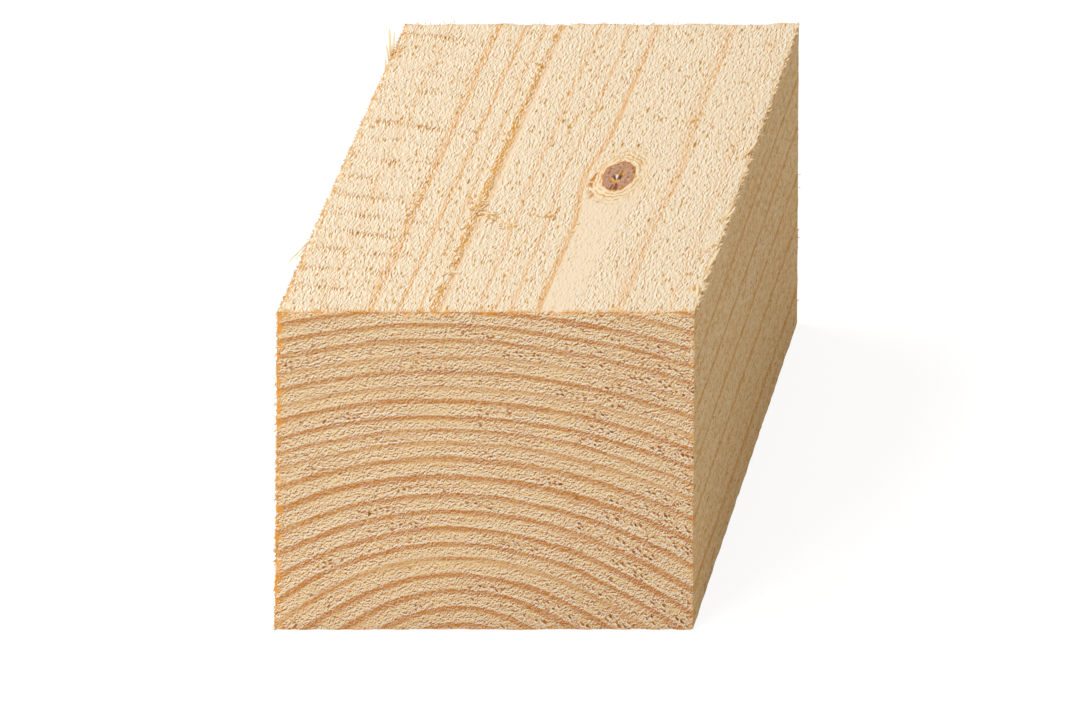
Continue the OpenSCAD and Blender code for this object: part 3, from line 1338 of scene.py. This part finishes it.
def torn_tufts(shape, scene, rng):
    """Rows of golden and pale tufts torn up from the top face, in small clumps."""
    roots = []
    lines = []
    for start, end, fibres in TUFTS:
        share = rng.uniform(0, 1, (fibres, 1))
        clump = np.round(share * fibres / CLUMP) / (fibres / CLUMP)
        share = 0.35 * share + 0.65 * clump
        roots.append(np.array(start) + share * np.subtract(end, start) + rng.normal(0, 0.4, (fibres, 2)))
        lines.append(np.tile(np.subtract(end, start), (fibres, 1)))
    flat = np.concatenate(roots)
    count = len(flat)
    roots = np.column_stack((flat, np.full(count, HIGH[2])))
    roots[:, 2] += relief(roots, "top", scene.stud_sawing, scene.stud_knot) - TUFT_DEPTH
    line = unit(np.concatenate(lines)) * rng.choice((-1, 1), (count, 1))
    turn = rng.normal(0, 0.7, count)
    along = np.zeros((count, 3))
    along[:, 0] = line[:, 0] * np.cos(turn) - line[:, 1] * np.sin(turn)
    along[:, 1] = line[:, 0] * np.sin(turn) + line[:, 1] * np.cos(turn)
    sizes = {
        "length": rng.uniform(0.8, 2.0, count),
        "width": rng.uniform(0.12, 0.28, count),
        "lift": rng.uniform(0.08, 0.3, count),
        "sway": rng.normal(0, 0.4, count),
    }
    bleach = np.where(rng.uniform(0, 1, count) < 0.45, 0.9, 0.1)
    gilt = np.where(bleach > 0.5, 0.0, rng.uniform(0.3, 1.0, count))
    return fibre_part(shape, roots, "top", along, sizes, bleach, gilt, scene.stud_knot)


# Operators


class STUD_OT_saw_skin(bpy.types.Operator):
    """Makes the sawn skin in place of the plain solid"""

    bl_idname = "stud.saw_skin"
    bl_label = "Saw Skin"

    def execute(self, context):
        scene = context.scene
        wood = wood_materials(scene)
        mesh = sawn_skin(scene.stud_sawing, scene.stud_knot)
        skin = add_piece("sawn_skin", mesh, wood["sawn_face"], wood["end_grain"])
        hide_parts("stud")
        return {"FINISHED"}


class STUD_OT_raise_face_fibres(bpy.types.Operator):
    """Raises torn fibres on the long faces"""

    bl_idname = "stud.raise_face_fibres"
    bl_label = "Raise Face Fibres"

    def execute(self, context):
        scene = context.scene
        sawing = scene.stud_sawing
        wood = wood_materials(scene)
        rng = np.random.default_rng(FACE_SEED)
        shape = sliver_shape("hair")
        top = [face_fibres("top", sawing.top_fibres, shape, scene, rng)]
        add_fibres("top_fibres", top, wood["face_fibre"])
        others = [
            face_fibres(name, sawing.side_fibres, shape, scene, rng)
            for name in ("right", "left", "underside")
        ]
        add_fibres("side_fibres", others, wood["face_fibre"])
        return {"FINISHED"}


class STUD_OT_raise_end_fibres(bpy.types.Operator):
    """Raises torn tufts on the two sawn ends"""

    bl_idname = "stud.raise_end_fibres"
    bl_label = "Raise End Fibres"

    def execute(self, context):
        scene = context.scene
        wood = wood_materials(scene)
        rng = np.random.default_rng(END_SEED)
        shape = sliver_shape("hair")
        for name in ENDS:
            part = end_fibres(name, scene.stud_sawing.end_fibres, shape, scene, rng)
            add_fibres(f"{name}_end_fibres", [part], wood["end_fibre"])
        return {"FINISHED"}


class STUD_OT_fray_edges(bpy.types.Operator):
    """Frays the sawn edges, and tears up the splinters and the top face's tufts"""

    bl_idname = "stud.fray_edges"
    bl_label = "Fray Edges"

    def execute(self, context):
        scene = context.scene
        wood = wood_materials(scene)
        rng = np.random.default_rng(EDGE_SEED)
        shape = sliver_shape("hair")
        fringes = [edge_fringe(*row, shape, scene, rng) for row in FRINGES]
        add_fibres("edge_fringe", fringes, wood["face_fibre"])
        splinters = [long_splinters(sliver_shape("splinter"), scene, rng)]
        add_fibres("splinters", splinters, wood["face_fibre"])
        tufts = [torn_tufts(sliver_shape("tuft"), scene, rng)]
        add_fibres("torn_tufts", tufts, wood["face_fibre"])
        return {"FINISHED"}


# The stage, in metres: place and side of each square lamp, and half the side of the floor
KEY_PLACE = (-0.62, 0.12, 0.78)
KEY_SIDE = 0.6
FILL_PLACE = (-0.55, -0.85, 0.75)
FILL_SIDE = 0.5
FLOOR_HALF = 4
WHITE = (1, 1, 1, 1)
# The floor that the camera sees: its glow, and the grey that takes the shadow. Other light meets a pale grey
FLOOR_GLOW = 0.86
SHADOW_GREY = (0.25, 0.25, 0.25, 1)
PALE_GREY = (0.8, 0.8, 0.8, 1)


class STUD_OT_set_stage(bpy.types.Operator):
    """Sets the floor, the lamps, the white surround and the camera"""

    bl_idname = "stud.set_stage"
    bl_label = "Set Stage"

    def execute(self, context):
        stage = context.scene.stud_stage
        lay_floor()
        aim_lamp("key_lamp", KEY_PLACE, stage.key, KEY_SIDE)
        aim_lamp("fill_lamp", FILL_PLACE, stage.fill, FILL_SIDE)
        surround(context.scene, stage.ambient)
        set_camera(context.scene, stage)
        context.scene.view_settings.view_transform = "Standard"
        return {"FINISHED"}


def seen_directly(tree):
    """1 for rays that show the background itself: camera, mirror and glass rays."""
    path = put(tree, "LightPath", {}).outputs
    mirrored = maths(tree, "MAXIMUM", path["Is Glossy Ray"], path["Is Transmission Ray"])
    return maths(tree, "MAXIMUM", path["Is Camera Ray"], mirrored)


def lay_floor():
    """A wide pale floor: white to the camera, apart from the stud's faint shadow."""
    sheet = bmesh.new()
    bmesh.ops.create_grid(sheet, x_segments=1, y_segments=1, size=FLOOR_HALF)
    mesh = bpy.data.meshes.new("floor")
    sheet.to_mesh(mesh)
    sheet.free()
    material = bpy.data.materials.new("floor_white")
    material.use_nodes = True
    tree = material.node_tree
    tree.nodes.clear()
    glow = put(tree, "Emission", {"Strength": FLOOR_GLOW})
    shadow = put(tree, "BsdfDiffuse", {"Color": SHADOW_GREY})
    shown = put(tree, "AddShader", {0: glow.outputs[0], 1: shadow.outputs[0]})
    plain = put(tree, "BsdfDiffuse", {"Color": PALE_GREY})
    both = put(tree, "MixShader", {0: seen_directly(tree), 1: plain.outputs[0], 2: shown.outputs[0]})
    put(tree, "OutputMaterial", {"Surface": both.outputs[0]})
    mesh.materials.append(material)
    floor = bpy.data.objects.new("floor", mesh)
    bpy.context.scene.collection.objects.link(floor)


def aim_lamp(name, place, watts, side):
    """A square soft lamp that points at the middle of the stud."""
    lamp = bpy.data.lights.new(name, "AREA")
    lamp.energy = watts
    lamp.size = side
    holder = bpy.data.objects.new(name, lamp)
    holder.location = place
    middle = Vector((LOW + HIGH) / 2) * MM
    holder.rotation_euler = (middle - holder.location).to_track_quat("-Z", "Y").to_euler()
    bpy.context.scene.collection.objects.link(holder)


def surround(scene, ambient):
    """Even light all round, white where the camera sees it."""
    world = bpy.data.worlds.new("studio")
    world.use_nodes = True
    tree = world.node_tree
    tree.nodes.clear()
    light = put(tree, "Background", {"Color": WHITE, "Strength": ambient})
    white = put(tree, "Background", {"Color": WHITE, "Strength": 1.0})
    both = put(tree, "MixShader", {0: seen_directly(tree), 1: light.outputs[0], 2: white.outputs[0]})
    put(tree, "OutputWorld", {"Surface": both.outputs[0]})
    scene.world = world


# The photo's frame: its width and scale at the front end, in pixels, and the point of the front end's plane
# that its middle shows
FRAME_WIDE = 1080
PIXELS_PER_MM = 5.231
FRAME_MIDDLE = (10.5, 51.8)
# How far the picture plane leans from the sawn end
PLANE_TILT = math.radians(1.5)
# The camera's sensor in millimetres, and how far it sees in metres
SENSOR_WIDE = 36
SIGHT = 20


def set_camera(scene, stage):
    """A camera whose picture plane stays all but parallel to the sawn end, as with a shifted lens."""
    turn, rise = stage.azimuth, stage.elevation
    back = Vector((math.sin(turn) * math.cos(rise), -math.cos(turn) * math.cos(rise), math.sin(rise)))
    away = stage.distance / (math.cos(turn) * math.cos(rise))
    aim = Vector((FRAME_MIDDLE[0], LOW[1], FRAME_MIDDLE[1])) * MM
    eye = aim + back * away
    data = bpy.data.cameras.new("camera")
    data.sensor_width = SENSOR_WIDE
    data.lens = SENSOR_WIDE * PIXELS_PER_MM / MM * away / FRAME_WIDE
    data.clip_end = SIGHT
    camera = bpy.data.objects.new("camera", data)
    scene.collection.objects.link(camera)
    unskewed = Matrix.LocRotScale(eye, (-back).to_track_quat("-Z", "Y"), None)
    upright = Vector((0, -math.sin(PLANE_TILT), math.cos(PLANE_TILT)))
    skewed = Matrix.Identity(4)
    for column, axis in enumerate((Vector((1, 0, 0)), upright, back, eye)):
        skewed.col[column][:3] = axis
    rig = bpy.data.objects.new("camera_rig", None)
    scene.collection.objects.link(rig)
    camera.parent = rig
    camera.matrix_parent_inverse = skewed @ unskewed.inverted()
    camera.matrix_basis = unskewed
    scene.camera = camera


class STUD_PT_panel(bpy.types.Panel):
    """Lists the stud's steps and settings"""

    bl_label = "Sawn Timber Stud"
    bl_idname = "STUD_PT_panel"
    bl_space_type = "VIEW_3D"
    bl_region_type = "UI"
    bl_category = "Stud"

    def draw(self, context):
        for step in STEPS:
            self.layout.operator(step.bl_idname)
        for group, kind in SETTINGS.items():
            box = self.layout.box()
            for name in kind.__annotations__:
                box.prop(getattr(context.scene, group), name)


SETTINGS = {
    "stud_timber": StudTimber,
    "stud_sawing": StudSawing,
    "stud_knot": StudKnot,
    "stud_stage": StudStage,
}
STEPS = (
    STUD_OT_saw_skin,
    STUD_OT_raise_face_fibres,
    STUD_OT_raise_end_fibres,
    STUD_OT_fray_edges,
    STUD_OT_set_stage,
)


def register():
    for kind in (*SETTINGS.values(), *STEPS, STUD_PT_panel):
        bpy.utils.register_class(kind)
    for name, kind in SETTINGS.items():
        setattr(bpy.types.Scene, name, PointerProperty(type=kind))


def unregister():
    for name in SETTINGS:
        delattr(bpy.types.Scene, name)
    for kind in reversed((*SETTINGS.values(), *STEPS, STUD_PT_panel)):
        bpy.utils.unregister_class(kind)


def main():
    register()
    bpy.ops.stud.saw_skin()
    bpy.ops.stud.raise_face_fibres()
    bpy.ops.stud.raise_end_fibres()
    bpy.ops.stud.fray_edges()
    bpy.ops.stud.set_stage()


if __name__ == "__main__":
    main()
